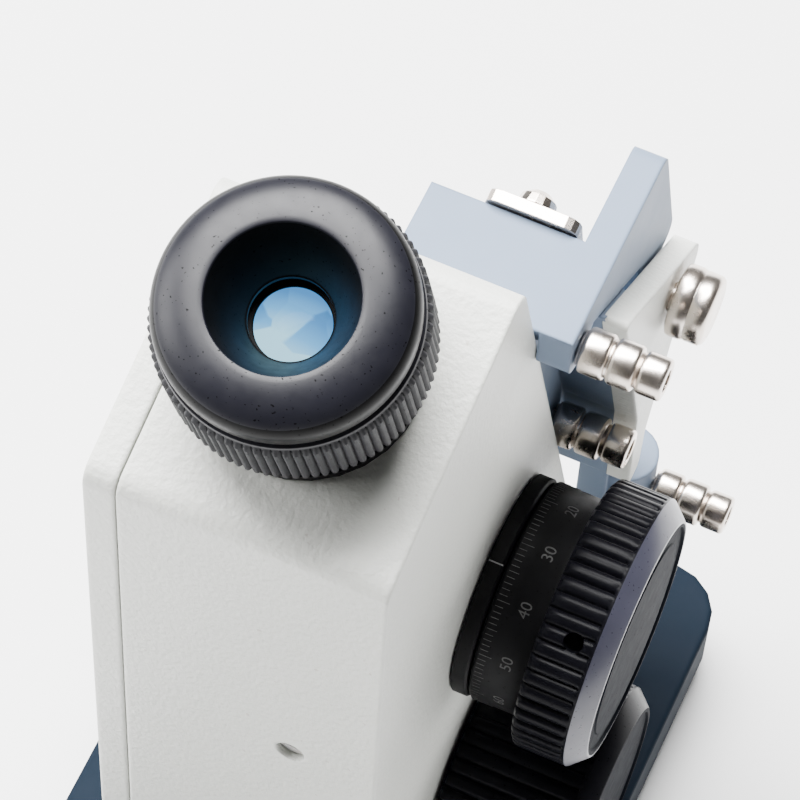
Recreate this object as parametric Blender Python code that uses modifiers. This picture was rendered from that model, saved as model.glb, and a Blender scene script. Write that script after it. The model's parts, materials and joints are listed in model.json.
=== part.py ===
"""Bench Abbe refractometer, modelled in metres, +Z up, standing on its four feet.

X is to the right of the user at the eyepiece, Y is away from the user.  The origin is on
the table, under the middle of the base.  All sizes below are in millimetres.
"""
import math

import bmesh
import bpy
from mathutils import Matrix, Vector

MM = 0.001
GAP = 0.3                       # running and resting gap between neighbouring pieces
ROUND = 28                      # facets of a large round piece
FINE = 16                       # facets of a small round piece

# ---- driving dimensions -------------------------------------------------------------
BASE_SIZE = (100.0, 200.0)      # width, depth
BASE_CORNER = 11.0
FOOT_HEIGHT = 6.0
BASE_TOP = 20.0
FEET = {"front_left": (-38, -86), "front_right": (38, -86), "back_left": (-38, 86), "back_right": (38, 86)}
BASE_SCREWS = {"front": (-3, -4), "back": (-3, 63)}
BASE_POCKETS = {"front": (-72, -14), "middle": (6, 53)}     # y ranges open to the underside
POCKET_HALF_WIDTH = 40.0
POCKET_DEPTH = 9.0
TILT = math.radians(17.0)       # slope of the top face, and lean of the eyepiece
FRONT_Y = -16.0                 # vertical front face of the housing
FRONT_EDGE_Z = 190.0            # where the front meets the sloped top
SLOPE_LENGTH = 54.3
KNEE_Z = 80.0                   # the leaning back wall turns vertical here
HOUSING_X = (-26.5, 20.7)
COVER_X = (-32.4, -26.8)
WALL = 3.5
FLOOR = 5.0

EYE_X = -6.5
EYE_UP_SLOPE = 30.45            # eyepiece axis, measured up the slope from the front edge
RING_RADIUS = 22.0
RING_FOOT = 11.6                # lower rim of the ring above the sloped face
FACE_RADIUS = 20.85
FACE_HEIGHT = 31.2
RIM_RADIUS = 12.1
RIM_HEIGHT = 36.3
EYE_OPENING = 6.8

KNOB = (37.2, 105.5)            # dispersion knob axis, (y, z)
INDEX_X = (21.0, 24.2)
GRADUATED_X = (24.6, 34.2)
GRIP_X = (34.6, 48.3)
GRIP_RADIUS = 25.6
SCALE_RADIUS = 20.9
KNOB_SHAFT_RADIUS = 3.0
SET_SCREW_X = 6.4               # from the inner face of the grip
SET_SCREW_WAY = (-0.61, 0.79)   # (y, z), up towards the user

WHEEL = (33.0, 44.0)            # adjusting handwheel axis, (y, z)
WHEEL_X = (21.5, 49.5)
WHEEL_RADIUS = 23.4
PINION_TEETH = 10
SECTOR_TEETH = 60
MODULE = 1.0
SECTOR_X = (9.5, 13.5)
SECTOR_BEARING = math.radians(45.0)

SPLIT_START = (40.0, 183.6)     # the plane between the two prism boxes
SPLIT_DROP = 0.7523             # fall per millimetre towards the back
BOX_TOP = 180.0
BOX_X = (-7.0, 27.0)
FIN_X = (21.0, 27.0)
CHEEK_X = (27.5, 32.0)
CORE_X = (-7.0, 17.2)
HINGE = (85.3, 139.8)           # upper prism box hinge axis, (y, z)
FLAP_DROP = 2.1                 # the flap's plate starts this far under its own hinge, clear of the ears

SEAT_CENTRE = (28.2, 85.5)
SEAT_RADIUS = 6.3
NOZZLE_LENGTH = 15.4
NOZZLE_RADIUS = 4.1

REFLECTOR = (81.5, 74.0)        # reflector hinge axis, (y, z)
LAMP = (43.6, 51.6)             # condenser axis on the left cover, (y, z)
LIGHT_MIRROR = (-37.5, 38.0)    # hinge axis of the left mirror, (x, z)

for old in list(bpy.data.objects):
    bpy.data.objects.remove(old, do_unlink=True)

parts = bpy.data.collections.new("refractometer")
cutters = bpy.data.collections.new("cutters")
bpy.context.scene.collection.children.link(parts)
bpy.context.scene.collection.children.link(cutters)


# ---- materials ----------------------------------------------------------------------
def material(name, colour, roughness, metallic=0.0, alpha=1.0):
    made = bpy.data.materials.new(name)
    made.use_nodes = True
    shader = made.node_tree.nodes["Principled BSDF"]
    shader.inputs["Base Color"].default_value = (*colour, 1.0)
    shader.inputs["Roughness"].default_value = roughness
    shader.inputs["Metallic"].default_value = metallic
    shader.inputs["Alpha"].default_value = alpha
    made.diffuse_color = (*colour, alpha)
    return made


CREAM = material("cream_paint", (0.72, 0.72, 0.68), 0.45)
SLATE = material("slate_paint", (0.055, 0.09, 0.13), 0.4)
SKY = material("pale_blue_paint", (0.50, 0.57, 0.66), 0.4)
BLACK = material("black_plastic", (0.012, 0.012, 0.014), 0.3)
MATT = material("black_anodised", (0.02, 0.02, 0.022), 0.55)
NICKEL = material("nickel", (0.62, 0.58, 0.54), 0.22, 1.0)
STEEL = material("steel", (0.55, 0.55, 0.56), 0.3, 1.0)
BRASS = material("brass", (0.70, 0.52, 0.22), 0.3, 1.0)
ALLOY = material("aluminium", (0.72, 0.73, 0.74), 0.4, 1.0)
RUBBER = material("rubber", (0.02, 0.02, 0.02), 0.85)
GLASS = material("optical_glass", (0.75, 0.88, 0.95), 0.05, 0.0, 0.4)
MIRROR = material("mirror", (0.9, 0.92, 0.93), 0.05, 1.0)


# ---- building blocks ----------------------------------------------------------------
def place(obj, origin=(0, 0, 0), turn=None):
    """Put an object's own origin and axes somewhere, in millimetres."""
    matrix = (turn or Matrix.Identity(3)).to_4x4()
    matrix.translation = Vector(origin) * MM
    obj.matrix_world = matrix
    return obj


def along(direction):
    """A rotation that takes local +Z to a direction and keeps local +X as near +X as it can."""
    z_axis = Vector(direction).normalized()
    hint = Vector((1, 0, 0)) if abs(z_axis.x) < 0.9 else Vector((0, 1, 0))
    y_axis = z_axis.cross(hint).normalized()
    x_axis = y_axis.cross(z_axis)
    return Matrix((x_axis, y_axis, z_axis)).transposed()


ALONG_X = along((1, 0, 0))
EYE_TURN = Matrix.Rotation(TILT, 3, "X")


def keep(obj, finish=None):
    """File an object as a part with its material, or as a hidden cutter."""
    for collection in list(obj.users_collection):
        collection.objects.unlink(obj)
    if finish is None:
        cutters.objects.link(obj)
        obj.hide_render = True
        obj.display_type = "WIRE"
    else:
        parts.objects.link(obj)
        obj.data.materials.clear()
        obj.data.materials.append(finish)
    return obj


def bevel(obj, width, segments=2, angle=35.0):
    made = obj.modifiers.new("rounded_edges", "BEVEL")
    made.width = width * MM
    made.segments = segments
    made.limit_method = "ANGLE"
    made.angle_limit = math.radians(angle)
    made.harden_normals = False
    return obj


def smooth(obj):
    obj.data.shade_smooth()
    obj.data.set_sharp_from_angle(angle=math.radians(35))
    return obj


def combine(obj, other, operation):
    made = obj.modifiers.new(operation.lower() + "_" + other.name, "BOOLEAN")
    made.operation = operation
    made.solver = "EXACT"
    made.object = other
    return obj


def cut(obj, *others):
    for other in others:
        combine(obj, other, "DIFFERENCE")
    return obj


def join(obj, *others):
    for other in others:
        combine(obj, other, "UNION")
    return obj


def mesh_object(name, build, finish):
    shape = bmesh.new()
    build(shape)
    mesh = bpy.data.meshes.new(name)
    shape.to_mesh(mesh)
    shape.free()
    obj = bpy.data.objects.new(name, mesh)
    bpy.context.scene.collection.objects.link(obj)
    return keep(obj, finish)


def block(name, low, high, finish=None, origin=(0, 0, 0), turn=None):
    """A box between two corners, given in its own frame."""
    low = Vector(low) * MM
    high = Vector(high) * MM

    def build(shape):
        size = high - low
        matrix = Matrix.Translation((low + high) / 2) @ Matrix.Diagonal((*size, 1.0))
        bmesh.ops.create_cube(shape, size=1.0, matrix=matrix)

    return place(mesh_object(name, build, finish), origin, turn)


def rod(name, start, direction, radius, length, finish=None, facets=FINE):
    """A round bar from a start point along a direction."""
    def build(shape):
        bmesh.ops.create_cone(shape, cap_ends=True, segments=facets, radius1=radius * MM,
                              radius2=radius * MM, depth=length * MM,
                              matrix=Matrix.Translation((0, 0, length * MM / 2)))

    return smooth(place(mesh_object(name, build, finish), start, along(direction)))


def turned(name, profile, origin, turn, finish=None, facets=ROUND, closed=False):
    """Turn a (radius, height) profile that runs down its outer side about local Z."""
    def build(shape):
        points = [shape.verts.new((radius * MM, 0, height * MM)) for radius, height in profile]
        for first, second in zip(points, points[1:]):
            shape.edges.new((first, second))
        if closed:
            shape.edges.new((points[-1], points[0]))

    obj = mesh_object(name, build, finish)
    spin = obj.modifiers.new("turn", "SCREW")
    spin.angle = 2 * math.pi
    spin.steps = facets
    spin.render_steps = facets
    spin.use_merge_vertices = True
    spin.merge_threshold = 0.00001
    spin.use_smooth_shade = True
    return place(obj, origin, turn)


def ring(name, start, direction, outer, inner, length, finish=None, facets=ROUND):
    """A plain tube from a start point along a direction."""
    profile = [(outer, length), (outer, 0), (inner, 0), (inner, length)]
    return turned(name, profile, start, along(direction), finish, facets, closed=True)


def rounded(points, radii, steps=4):
    """Replace each corner of an outline by an arc of its own radius (0 keeps it sharp)."""
    outline = []
    count = len(points)
    for index, radius in enumerate(radii):
        corner = Vector(points[index])
        before = (Vector(points[index - 1]) - corner).normalized()
        after = (Vector(points[(index + 1) % count]) - corner).normalized()
        if radius <= 0:
            outline.append(corner)
            continue
        half = before.angle(after) / 2
        centre = corner + (before + after).normalized() * radius / math.sin(half)
        first = corner + before * radius / math.tan(half) - centre
        last = corner + after * radius / math.tan(half) - centre
        sweep = first.angle_signed(last)
        for step in range(steps + 1):
            arm = first.copy()
            arm.rotate(Matrix.Rotation(-sweep * step / steps, 2))
            outline.append(centre + arm)
    return outline


def plate(name, outline, thickness, origin, turn, finish=None):
    """A flat outline in local XY, as thick as asked, from local z 0 upwards."""
    curve = bpy.data.curves.new(name, "CURVE")
    curve.dimensions = "2D"
    curve.fill_mode = "BOTH"
    curve.extrude = thickness * MM / 2
    spline = curve.splines.new("POLY")
    spline.points.add(len(outline) - 1)
    for point, (across, up) in zip(spline.points, outline):
        point.co = (across * MM, up * MM, 0, 1)
    spline.use_cyclic_u = True
    drawn = bpy.data.objects.new(name + "_outline", curve)
    bpy.context.scene.collection.objects.link(drawn)
    evaluated = drawn.evaluated_get(bpy.context.evaluated_depsgraph_get())
    mesh = bpy.data.meshes.new_from_object(evaluated)
    bpy.data.objects.remove(drawn, do_unlink=True)
    shape = bmesh.new()
    shape.from_mesh(mesh)
    bmesh.ops.remove_doubles(shape, verts=shape.verts, dist=0.000001)
    bmesh.ops.translate(shape, verts=shape.verts, vec=(0, 0, thickness * MM / 2))
    bmesh.ops.recalc_face_normals(shape, faces=shape.faces)
    shape.to_mesh(mesh)
    shape.free()
    obj = bpy.data.objects.new(name, mesh)
    bpy.context.scene.collection.objects.link(obj)
    return place(keep(obj, finish), origin, turn)


# Outlines drawn as (y, z) and given their thickness along +X.
SIDE = Matrix(((0, 0, 1), (1, 0, 0), (0, 1, 0)))


def side_plate(name, outline, x_range, finish=None):
    return plate(name, outline, x_range[1] - x_range[0], (x_range[0], 0, 0), SIDE, finish)


def fluted(radius, depth, count):
    """A round outline with flat-topped flutes, three points to a flute."""
    outline = []
    for index in range(count):
        for share, reach in ((0.0, radius), (0.5, radius), (0.75, radius - depth)):
            angle = 2 * math.pi * (index + share) / count
            outline.append((reach * math.cos(angle), reach * math.sin(angle)))
    return outline


def tooth_points(teeth, angle):
    """The four corners of one slim gear tooth at an angle about the gear's centre."""
    pitch = MODULE * teeth / 2
    corners = []
    for side, reach, half_width in ((-1, pitch - 1.25 * MODULE, 0.75), (-1, pitch + 0.85 * MODULE, 0.25),
                                    (1, pitch + 0.85 * MODULE, 0.25), (1, pitch - 1.25 * MODULE, 0.75)):
        spread = side * half_width * MODULE / reach
        corners.append((reach * math.cos(angle + spread), reach * math.sin(angle + spread)))
    return corners


def gear_outline(teeth, first, last, phase):
    outline = []
    for index in range(first, last):
        outline += tooth_points(teeth, phase + 2 * math.pi * index / teeth)
    return outline


def ellipse_arc(start, end, steps):
    """Points of a quarter ellipse that leaves start level and meets end upright."""
    wide = end[0] - start[0]
    tall = start[1] - end[1]
    turn = [math.pi / 2 * step / steps for step in range(steps + 1)]
    return [(start[0] + wide * math.sin(a), end[1] + tall * math.cos(a)) for a in turn]


# ---- shared places ------------------------------------------------------------------
RIDGE = (FRONT_Y + SLOPE_LENGTH * math.cos(TILT), FRONT_EDGE_Z + SLOPE_LENGTH * math.sin(TILT))
KNEE_Y = RIDGE[0] + (RIDGE[1] - KNEE_Z) * math.tan(TILT)
EYE = Vector((EYE_X, FRONT_Y + EYE_UP_SLOPE * math.cos(TILT),
              FRONT_EDGE_Z + EYE_UP_SLOPE * math.sin(TILT)))
EYE_UP = EYE_TURN @ Vector((0, 0, 1))
SPLIT_ANGLE = math.atan(SPLIT_DROP)
SPLIT_TURN = Matrix.Rotation(-SPLIT_ANGLE, 3, "X")


def down_tube(distance):
    """The point on the telescope axis this far below the sloped face."""
    return EYE - EYE_UP * distance


def split_z(y):
    return SPLIT_START[1] - SPLIT_DROP * (y - SPLIT_START[0])


def at(x, pair):
    return (x, pair[0], pair[1])


# ---- base ---------------------------------------------------------------------------
def make_base():
    half_x, half_y = BASE_SIZE[0] / 2, BASE_SIZE[1] / 2
    outline = rounded([(-half_x, -half_y), (half_x, -half_y), (half_x, half_y), (-half_x, half_y)],
                      [BASE_CORNER] * 4)
    base = plate("base_casting", outline, BASE_TOP - FOOT_HEIGHT, (0, 0, FOOT_HEIGHT), None, SLATE)
    bevel(base, 1.8, 2, 60)
    foot = [(0, FOOT_HEIGHT - GAP), (8.5, FOOT_HEIGHT - GAP), (9.0, 1.2), (8.0, 0), (0, 0)]
    for name, (x, y) in FEET.items():
        turned(f"rubber_foot_{name}", foot, (x, y, 0), None, RUBBER, FINE)
    screw = [(0, 15.4), (2.0, 15.4), (2.0, 3.0), (3.9, 3.0), (3.9, 0), (0, 0)]
    for name, (x, y) in BASE_SCREWS.items():
        turned(f"base_screw_{name}", screw, (x, y, FOOT_HEIGHT + 1.0), None, STEEL, 12)
        cut(base, rod(f"head_hole_{name}", (x, y, 0), (0, 0, 1), 4.3, FOOT_HEIGHT + 4.4, None, 16))
        cut(base, rod(f"shank_hole_{name}", (x, y, 0), (0, 0, 1), 2.4, 30, None, 12))
    for name, (low_y, high_y) in BASE_POCKETS.items():
        cut(base, block(f"pocket_{name}", (-POCKET_HALF_WIDTH, low_y, 0),
                        (POCKET_HALF_WIDTH, high_y, FOOT_HEIGHT + POCKET_DEPTH)))


# ---- housing ------------------------------------------------------------------------
def housing_outline(inset, foot_z, radii):
    """The side outline of the housing, moved inwards by a wall thickness."""
    back_lean = math.tan(TILT)
    front = FRONT_Y + inset
    top_front = FRONT_EDGE_Z - inset / math.cos(TILT) + inset * math.tan(TILT)
    ridge = (RIDGE[0] - inset * math.cos(TILT) + inset * math.sin(TILT),
             RIDGE[1] - inset * math.cos(TILT) - inset * math.sin(TILT))
    knee_y = KNEE_Y - inset
    knee_z = ridge[1] - (knee_y - ridge[0]) / back_lean
    points = [(front, foot_z), (knee_y, foot_z), (knee_y, knee_z), ridge, (front, top_front)]
    return rounded(points, radii)


def make_housing():
    foot = BASE_TOP + GAP
    housing = side_plate("housing", housing_outline(0, foot, [3, 3, 6, 4, 4]), HOUSING_X, CREAM)
    bevel(housing, 2.4, 2, 60)
    cavity = side_plate("housing_cavity", housing_outline(WALL, foot + FLOOR, [9, 9, 6, 12, 12]),
                        (HOUSING_X[0] - 10, HOUSING_X[1] - WALL))
    eye_hole = rod("eye_hole", EYE - EYE_UP * 12, EYE_UP, 16.4, 24, None, ROUND)
    knob_hole = rod("knob_hole", at(10, KNOB), (1, 0, 0), 6.3, 20)
    wheel_hole = rod("wheel_hole", at(10, WHEEL), (1, 0, 0), 6.3, 20)
    light_hole = rod("light_hole", (5, 55, 108), (0, 1, 0), 7.5, 25)
    test_hole = rod("calibration_hole", (4.8, FRONT_Y - 3, 121.7), (0, 1, 0), 2.7, 12, None, 16)
    cut(housing, cavity, eye_hole, knob_hole, wheel_hole, light_hole, test_hole)
    for name, (x, y) in BASE_SCREWS.items():
        cut(housing, rod(f"tapped_hole_{name}", (x, y, 15), (0, 0, 1), 2.4, 8, None, 12))

    cover = side_plate("left_cover", housing_outline(0, foot, [3, 3, 6, 4, 4]), COVER_X, CREAM)
    bevel(cover, 2.4, 2, 60)
    hollow = side_plate("cover_hollow", housing_outline(WALL, foot + FLOOR, [9, 9, 6, 12, 12]),
                        (COVER_X[0] + 2.6, COVER_X[1] + 5))
    lamp_hole = rod("lamp_hole", at(-40, LAMP), (1, 0, 0), 6.9, 20)
    cut(cover, hollow, lamp_hole)
    corner = WALL + 1.4
    spots = {"low_front": (FRONT_Y + corner, foot + FLOOR + 2.2),
             "low_back": (KNEE_Y - corner, foot + FLOOR + 2.2),
             "top": (RIDGE[0] - 4.2, RIDGE[1] - 8.0)}
    profile = [(0, 0), (1.9, 0), (1.9, -1.2), (1.1, -1.6), (1.1, -12), (0, -12)]
    head_x = COVER_X[0] + 0.2
    for name, spot in spots.items():
        turned(f"cover_screw_{name}", profile, at(head_x, spot), along((-1, 0, 0)), NICKEL, 12)
        cut(cover, rod(f"cover_head_{name}", at(head_x + 1.8, spot), (-1, 0, 0), 2.3, 6, None, 12))
        cut(cover, rod(f"cover_shank_{name}", at(-20, spot), (-1, 0, 0), 1.5, 20, None, 12))
        cut(housing, rod(f"rim_hole_{name}", at(-18, spot), (-1, 0, 0), 1.5, 12, None, 12))

    slot_screw = [(0, 11), (2.3, 11), (2.3, 0), (0, 0)]
    screw = turned("calibration_screw", slot_screw, (4.8, FRONT_Y + 12.2, 121.7), along((0, -1, 0)),
                   STEEL, 16)
    cut(screw, block("screwdriver_slot", (-3, -0.4, 10.0), (3, 0.4, 12), None,
                     (4.8, FRONT_Y + 12.2, 121.7), along((0, -1, 0))))


# ---- eyepiece and telescope ---------------------------------------------------------
def make_eyepiece():
    collar = [(17.8, 22.0), (17.8, 3.0), (19.4, 2.6), (19.4, GAP), (16.0, GAP), (16.0, -12.0),
              (13.0, -12.0), (13.0, 22.0)]
    turned("eyepiece_collar", collar, EYE, EYE_TURN, MATT, ROUND, closed=True)

    dome = ellipse_arc((RIM_RADIUS + 1.2, RIM_HEIGHT), (FACE_RADIUS, FACE_HEIGHT), 4)
    cap = [(RIM_RADIUS, RIM_HEIGHT - 0.5)] + dome
    cap += [(FACE_RADIUS, 28.0), (20.3, 27.4), (RING_RADIUS, 26.8), (RING_RADIUS, RING_FOOT),
            (18.7, RING_FOOT), (18.7, 23.2), (8.4, 23.2), (EYE_OPENING, 24.6)]
    turned("diopter_ring", cap, EYE, EYE_TURN, BLACK, 40, closed=True)

    cell = [(12.6, 20.6), (12.6, -6.0), (9.0, -6.0), (9.0, -4.0), (10.2, -4.0), (10.2, 20.6)]
    turned("lens_cell", cell, EYE, EYE_TURN, MATT, ROUND, closed=True)
    eye_lens = [(0, 21.2), (5.5, 20.7), (9.9, 19.2), (9.9, 16.6), (0, 16.6)]
    turned("eye_lens", eye_lens, EYE, EYE_TURN, GLASS, ROUND)
    field_lens = [(0, 1.2), (5.5, 0.7), (9.9, -0.9), (9.9, -3.6), (0, -3.6)]
    turned("field_lens", field_lens, EYE, EYE_TURN, GLASS, ROUND)

    tube = ring("telescope_tube", down_tube(124), EYE_UP, 15.0, 12.9, 111.6, ALLOY)
    window = block("pinion_window", (-1, -14, -7), (20, 8, 7), None, down_tube(96.4), EYE_TURN)
    cut(tube, window)
    reticle = [(0, -15.0), (12.5, -15.0), (12.5, -17.0), (0, -17.0)]
    turned("reticle", reticle, EYE, EYE_TURN, GLASS, ROUND)
    objective = [(0, -118.6), (6.0, -118.9), (12.5, -120.4), (12.5, -122.0), (6.0, -123.2), (0, -123.6)]
    turned("objective_lens", objective, EYE, EYE_TURN, GLASS, ROUND)

    for name, start in (("front", 90.8), ("rear", 116.0)):
        origin = down_tube(start)
        ring(f"amici_cell_{name}", origin, EYE_UP, 12.5, 9.0, 14.0, BRASS)
        prism = block(f"amici_prism_{name}", (-5.6, -5.6, 1.0), (5.6, 5.6, 13.0), GLASS, origin, EYE_TURN)
        bevel(prism, 1.0, 1)


# ---- dispersion knob ----------------------------------------------------------------
def make_dispersion_knob():
    ring("index_ring", at(INDEX_X[0], KNOB), (1, 0, 0), SCALE_RADIUS, 9.0, INDEX_X[1] - INDEX_X[0], MATT)
    bush = [(7.6, 3.0), (7.6, 0.4), (6.0, 0.4), (6.0, -6.0), (3.3, -6.0), (3.3, 3.0)]
    for name, centre, finish in (("dispersion_bush", KNOB, BRASS), ("adjusting_bush", WHEEL, MATT)):
        turned(name, bush, at(HOUSING_X[1], centre), ALONG_X, finish, FINE, closed=True)
    length = GRADUATED_X[1] - GRADUATED_X[0]
    drum = [(SCALE_RADIUS - 0.6, length), (SCALE_RADIUS, length - 0.6), (SCALE_RADIUS, 0.5),
            (SCALE_RADIUS - 0.5, 0), (3.4, 0), (3.4, length)]
    turned("graduated_ring", drum, at(GRADUATED_X[0], KNOB), ALONG_X, MATT, 40, closed=True)
    grip = plate("dispersion_grip", fluted(GRIP_RADIUS, 1.1, 40), GRIP_X[1] - GRIP_X[0],
                 at(GRIP_X[0], KNOB), ALONG_X, BLACK)
    shoulder = [(GRIP_RADIUS + 4, 14.2), (GRIP_RADIUS + 4, 10.9), (GRIP_RADIUS + 0.6, 10.9),
                (GRIP_RADIUS - 2.4, 14.2)]
    cut(grip, turned("grip_shoulder", shoulder, at(GRIP_X[0], KNOB), ALONG_X, None, 40, closed=True))
    cut(grip, rod("grip_bore", at(GRIP_X[0] - 2, KNOB), (1, 0, 0), 3.4, 11, None, FINE))
    outward = Vector((0, *SET_SCREW_WAY)).normalized()
    hole_start = Vector(at(GRIP_X[0] + SET_SCREW_X, KNOB)) + outward * (KNOB_SHAFT_RADIUS + GAP)
    cut(grip, rod("set_screw_hole", hole_start, outward, 1.8, 26, None, 12))
    rod("grip_set_screw", hole_start, outward, 1.5, 8, STEEL, 12)

    shaft = rod("dispersion_shaft", at(6.8, KNOB), (1, 0, 0), KNOB_SHAFT_RADIUS, 36, STEEL)
    pinion = plate("dispersion_teeth", fluted(4.9, 1.0, 12), 5.0, at(2.0, KNOB), ALONG_X)
    join(shaft, pinion)


# ---- adjusting handwheel, sector, mirror and scale ----------------------------------
def make_adjusting_train():
    length = WHEEL_X[1] - WHEEL_X[0]
    wheel = plate("adjusting_wheel", fluted(WHEEL_RADIUS, 1.0, 40), length, at(WHEEL_X[0], WHEEL),
                  ALONG_X, BLACK)
    shoulder = [(WHEEL_RADIUS + 4, length + 1), (WHEEL_RADIUS + 4, length - 2.5),
                (WHEEL_RADIUS + 0.6, length - 2.5), (WHEEL_RADIUS - 2.6, length + 1)]
    cut(wheel, turned("wheel_shoulder", shoulder, at(WHEEL_X[0], WHEEL), ALONG_X, None, 40, closed=True))
    cut(wheel, rod("wheel_bore", at(WHEEL_X[0] - 2, WHEEL), (1, 0, 0), 3.4, 20.5, None, FINE))
    cut(wheel, rod("bush_recess", at(WHEEL_X[0] - 2, WHEEL), (1, 0, 0), 8.6, 4.6, None, FINE))
    shaft = rod("adjusting_shaft", at(SECTOR_X[0] + 4.0, WHEEL), (1, 0, 0), 3.0, 26, STEEL)
    phase = SECTOR_BEARING
    pinion = plate("adjusting_teeth", gear_outline(PINION_TEETH, 0, PINION_TEETH, phase), 4.2,
                   at(SECTOR_X[0], WHEEL), SIDE)
    join(shaft, pinion)

    reach = MODULE * (PINION_TEETH + SECTOR_TEETH) / 2
    pivot = (WHEEL[0] + reach * math.cos(SECTOR_BEARING), WHEEL[1] + reach * math.sin(SECTOR_BEARING))
    back = SECTOR_BEARING + math.pi
    half_tooth = math.pi / SECTOR_TEETH
    outline = gear_outline(SECTOR_TEETH, -6, 6, back + half_tooth)
    hub = [(7 * math.cos(back + a), 7 * math.sin(back + a)) for a in (1.6, 2.3, 3.14, 3.98, 4.68)]
    sector = plate("sector_gear", outline + hub, SECTOR_X[1] - SECTOR_X[0], at(SECTOR_X[0], pivot),
                   SIDE, BRASS)
    cut(sector, rod("sector_bore", at(0, pivot), (1, 0, 0), 2.8, 30))
    rod("pivot_stud", at(-21.5, pivot), (1, 0, 0), 2.5, 38.4, STEEL)

    lean = Matrix.Rotation(math.radians(-36.5), 3, "X")
    carrier = block("mirror_carrier", (-15, -10, -4.5), (4, 10, 4.0), ALLOY, at(0, pivot), lean)
    cut(carrier, rod("carrier_bore", at(-20, pivot), (1, 0, 0), 2.8, 40))
    bevel(carrier, 0.8, 1)
    block("swing_mirror", (-14, -9, 4.3), (3, 9, 6.2), MIRROR, at(0, pivot), lean)

    spread = [math.radians(-30 + 10 * step) for step in range(7)]
    rim = [(26 * math.cos(back + a), 26 * math.sin(back + a)) for a in spread]
    neck = [(6 * math.cos(back + a), 6 * math.sin(back + a)) for a in (1.6, 2.6, 3.7, 4.7)]
    scale = plate("scale_plate", rim + neck, 1.6, at(-18.6, pivot), SIDE, GLASS)
    cut(scale, rod("scale_bore", at(-30, pivot), (1, 0, 0), 2.8, 30))


# ---- prism boxes --------------------------------------------------------------------
def make_upper_box():
    lip = 172.0
    back_low = 68.4
    outline = [(44.9, BOX_TOP), (48.0, lip), (51.5, lip), (53.5, split_z(53.5)),
               (back_low, split_z(back_low)), (64.4, BOX_TOP)]
    upper = side_plate("upper_prism_box", rounded(outline, [0, 0, 0, 0, 0, 0]), BOX_X, SKY)
    hinge_y, hinge_z = HINGE
    fin = [(44.9, BOX_TOP - 0.01), (44.6, 170.5), (50.0, 167.6), (55.4, split_z(55.4) + 0.2),
           (hinge_y - 6, split_z(hinge_y - 6) + 0.2), (hinge_y - 6, hinge_z - 6),
           (hinge_y + 6, hinge_z - 6), (hinge_y + 6, hinge_z + 2), (97.0, 143.5), (86.3, BOX_TOP - 0.01)]
    cheek = side_plate("fin", rounded(fin, [0, 3, 3, 0, 0, 5.9, 5.9, 0, 3, 3]), (FIN_X[0], BOX_X[1] - 0.01))
    join(upper, cheek)
    middle = (10, 59.5, split_z(59.5))
    pocket = block("upper_pocket", (-9.6, -6.4, -2), (8.4, 6.4, 5.6), None, middle, SPLIT_TURN)
    entry = block("light_entry", (-1.5, 60, 166.2), (17.5, 80, 171.0))
    pin_hole = rod("fin_pin_hole", at(10, HINGE), (1, 0, 0), 2.8, 30)
    cut(upper, pocket, entry, pin_hole)
    bevel(upper, 0.5, 1, 50)
    block("illuminating_prism", (-9.3, -6.1, 0.2), (8.1, 6.1, 5.2), GLASS, middle, SPLIT_TURN)

    top_edge = (11.0, 64.4, BOX_TOP)
    lean = Matrix.Rotation(math.atan2(4.0, BOX_TOP - split_z(back_low)), 3, "X")
    outline = rounded([(-8.4, -6.2), (8.4, -6.2), (8.4, 1.8), (-8.4, 1.8)], [0, 0, 2.4, 2.4], 3)
    upright = lean @ Matrix(((-1, 0, 0), (0, 0, 1), (0, 1, 0)))
    clip = plate("shield_clip", outline, 2.2, Vector(top_edge) + lean @ Vector((0, GAP, 0)), upright, NICKEL)
    ears = []
    for side in (-1, 1):
        low_x, high_x = sorted((side * 8.4, side * 6.4))
        ears.append(block(f"clip_ear_{side}", (low_x, GAP, -9.4), (high_x, GAP + 2.2, -6.0), None,
                          top_edge, lean))
    join(clip, *ears)
    outward = lean @ Vector((0, 1, 0))
    screw_spot = Vector(top_edge) + lean @ Vector((-0.4, GAP + 2.5, -2.4))
    cut(clip, rod("clip_screw_hole", screw_spot - outward * 5, outward, 1.8, 8, None, 12))
    axis = Vector(top_edge) + lean @ Vector((0, GAP + 1.1, -8.2))
    cut(clip, rod("clip_pin_hole", axis - Vector((12, 0, 0)), (1, 0, 0), 0.85, 24, None, 12))
    head = [(0, 3.3), (1.8, 3.0), (3.2, 1.9), (3.6, 0.3), (3.6, 0), (1.5, 0), (1.5, -2.2), (0, -2.2)]
    turned("shield_screw", head, screw_spot, along(outward), NICKEL, 16)
    flap = block("shield_flap", (-9.8, -0.5, -8.6), (9.8, 0.7, -FLAP_DROP), MATT, axis, lean)
    join(flap, block("flap_neck", (-6.0, -0.5, -FLAP_DROP - 0.4), (6.0, 0.7, 0), None, axis, lean))
    join(flap, rod("flap_barrel", axis - Vector((6.0, 0, 0)), (1, 0, 0), 1.0, 12, None, 12))
    join(flap, rod("flap_trunnion", axis - Vector((8.2, 0, 0)), (1, 0, 0), 0.55, 16.4, None, 12))


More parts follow.
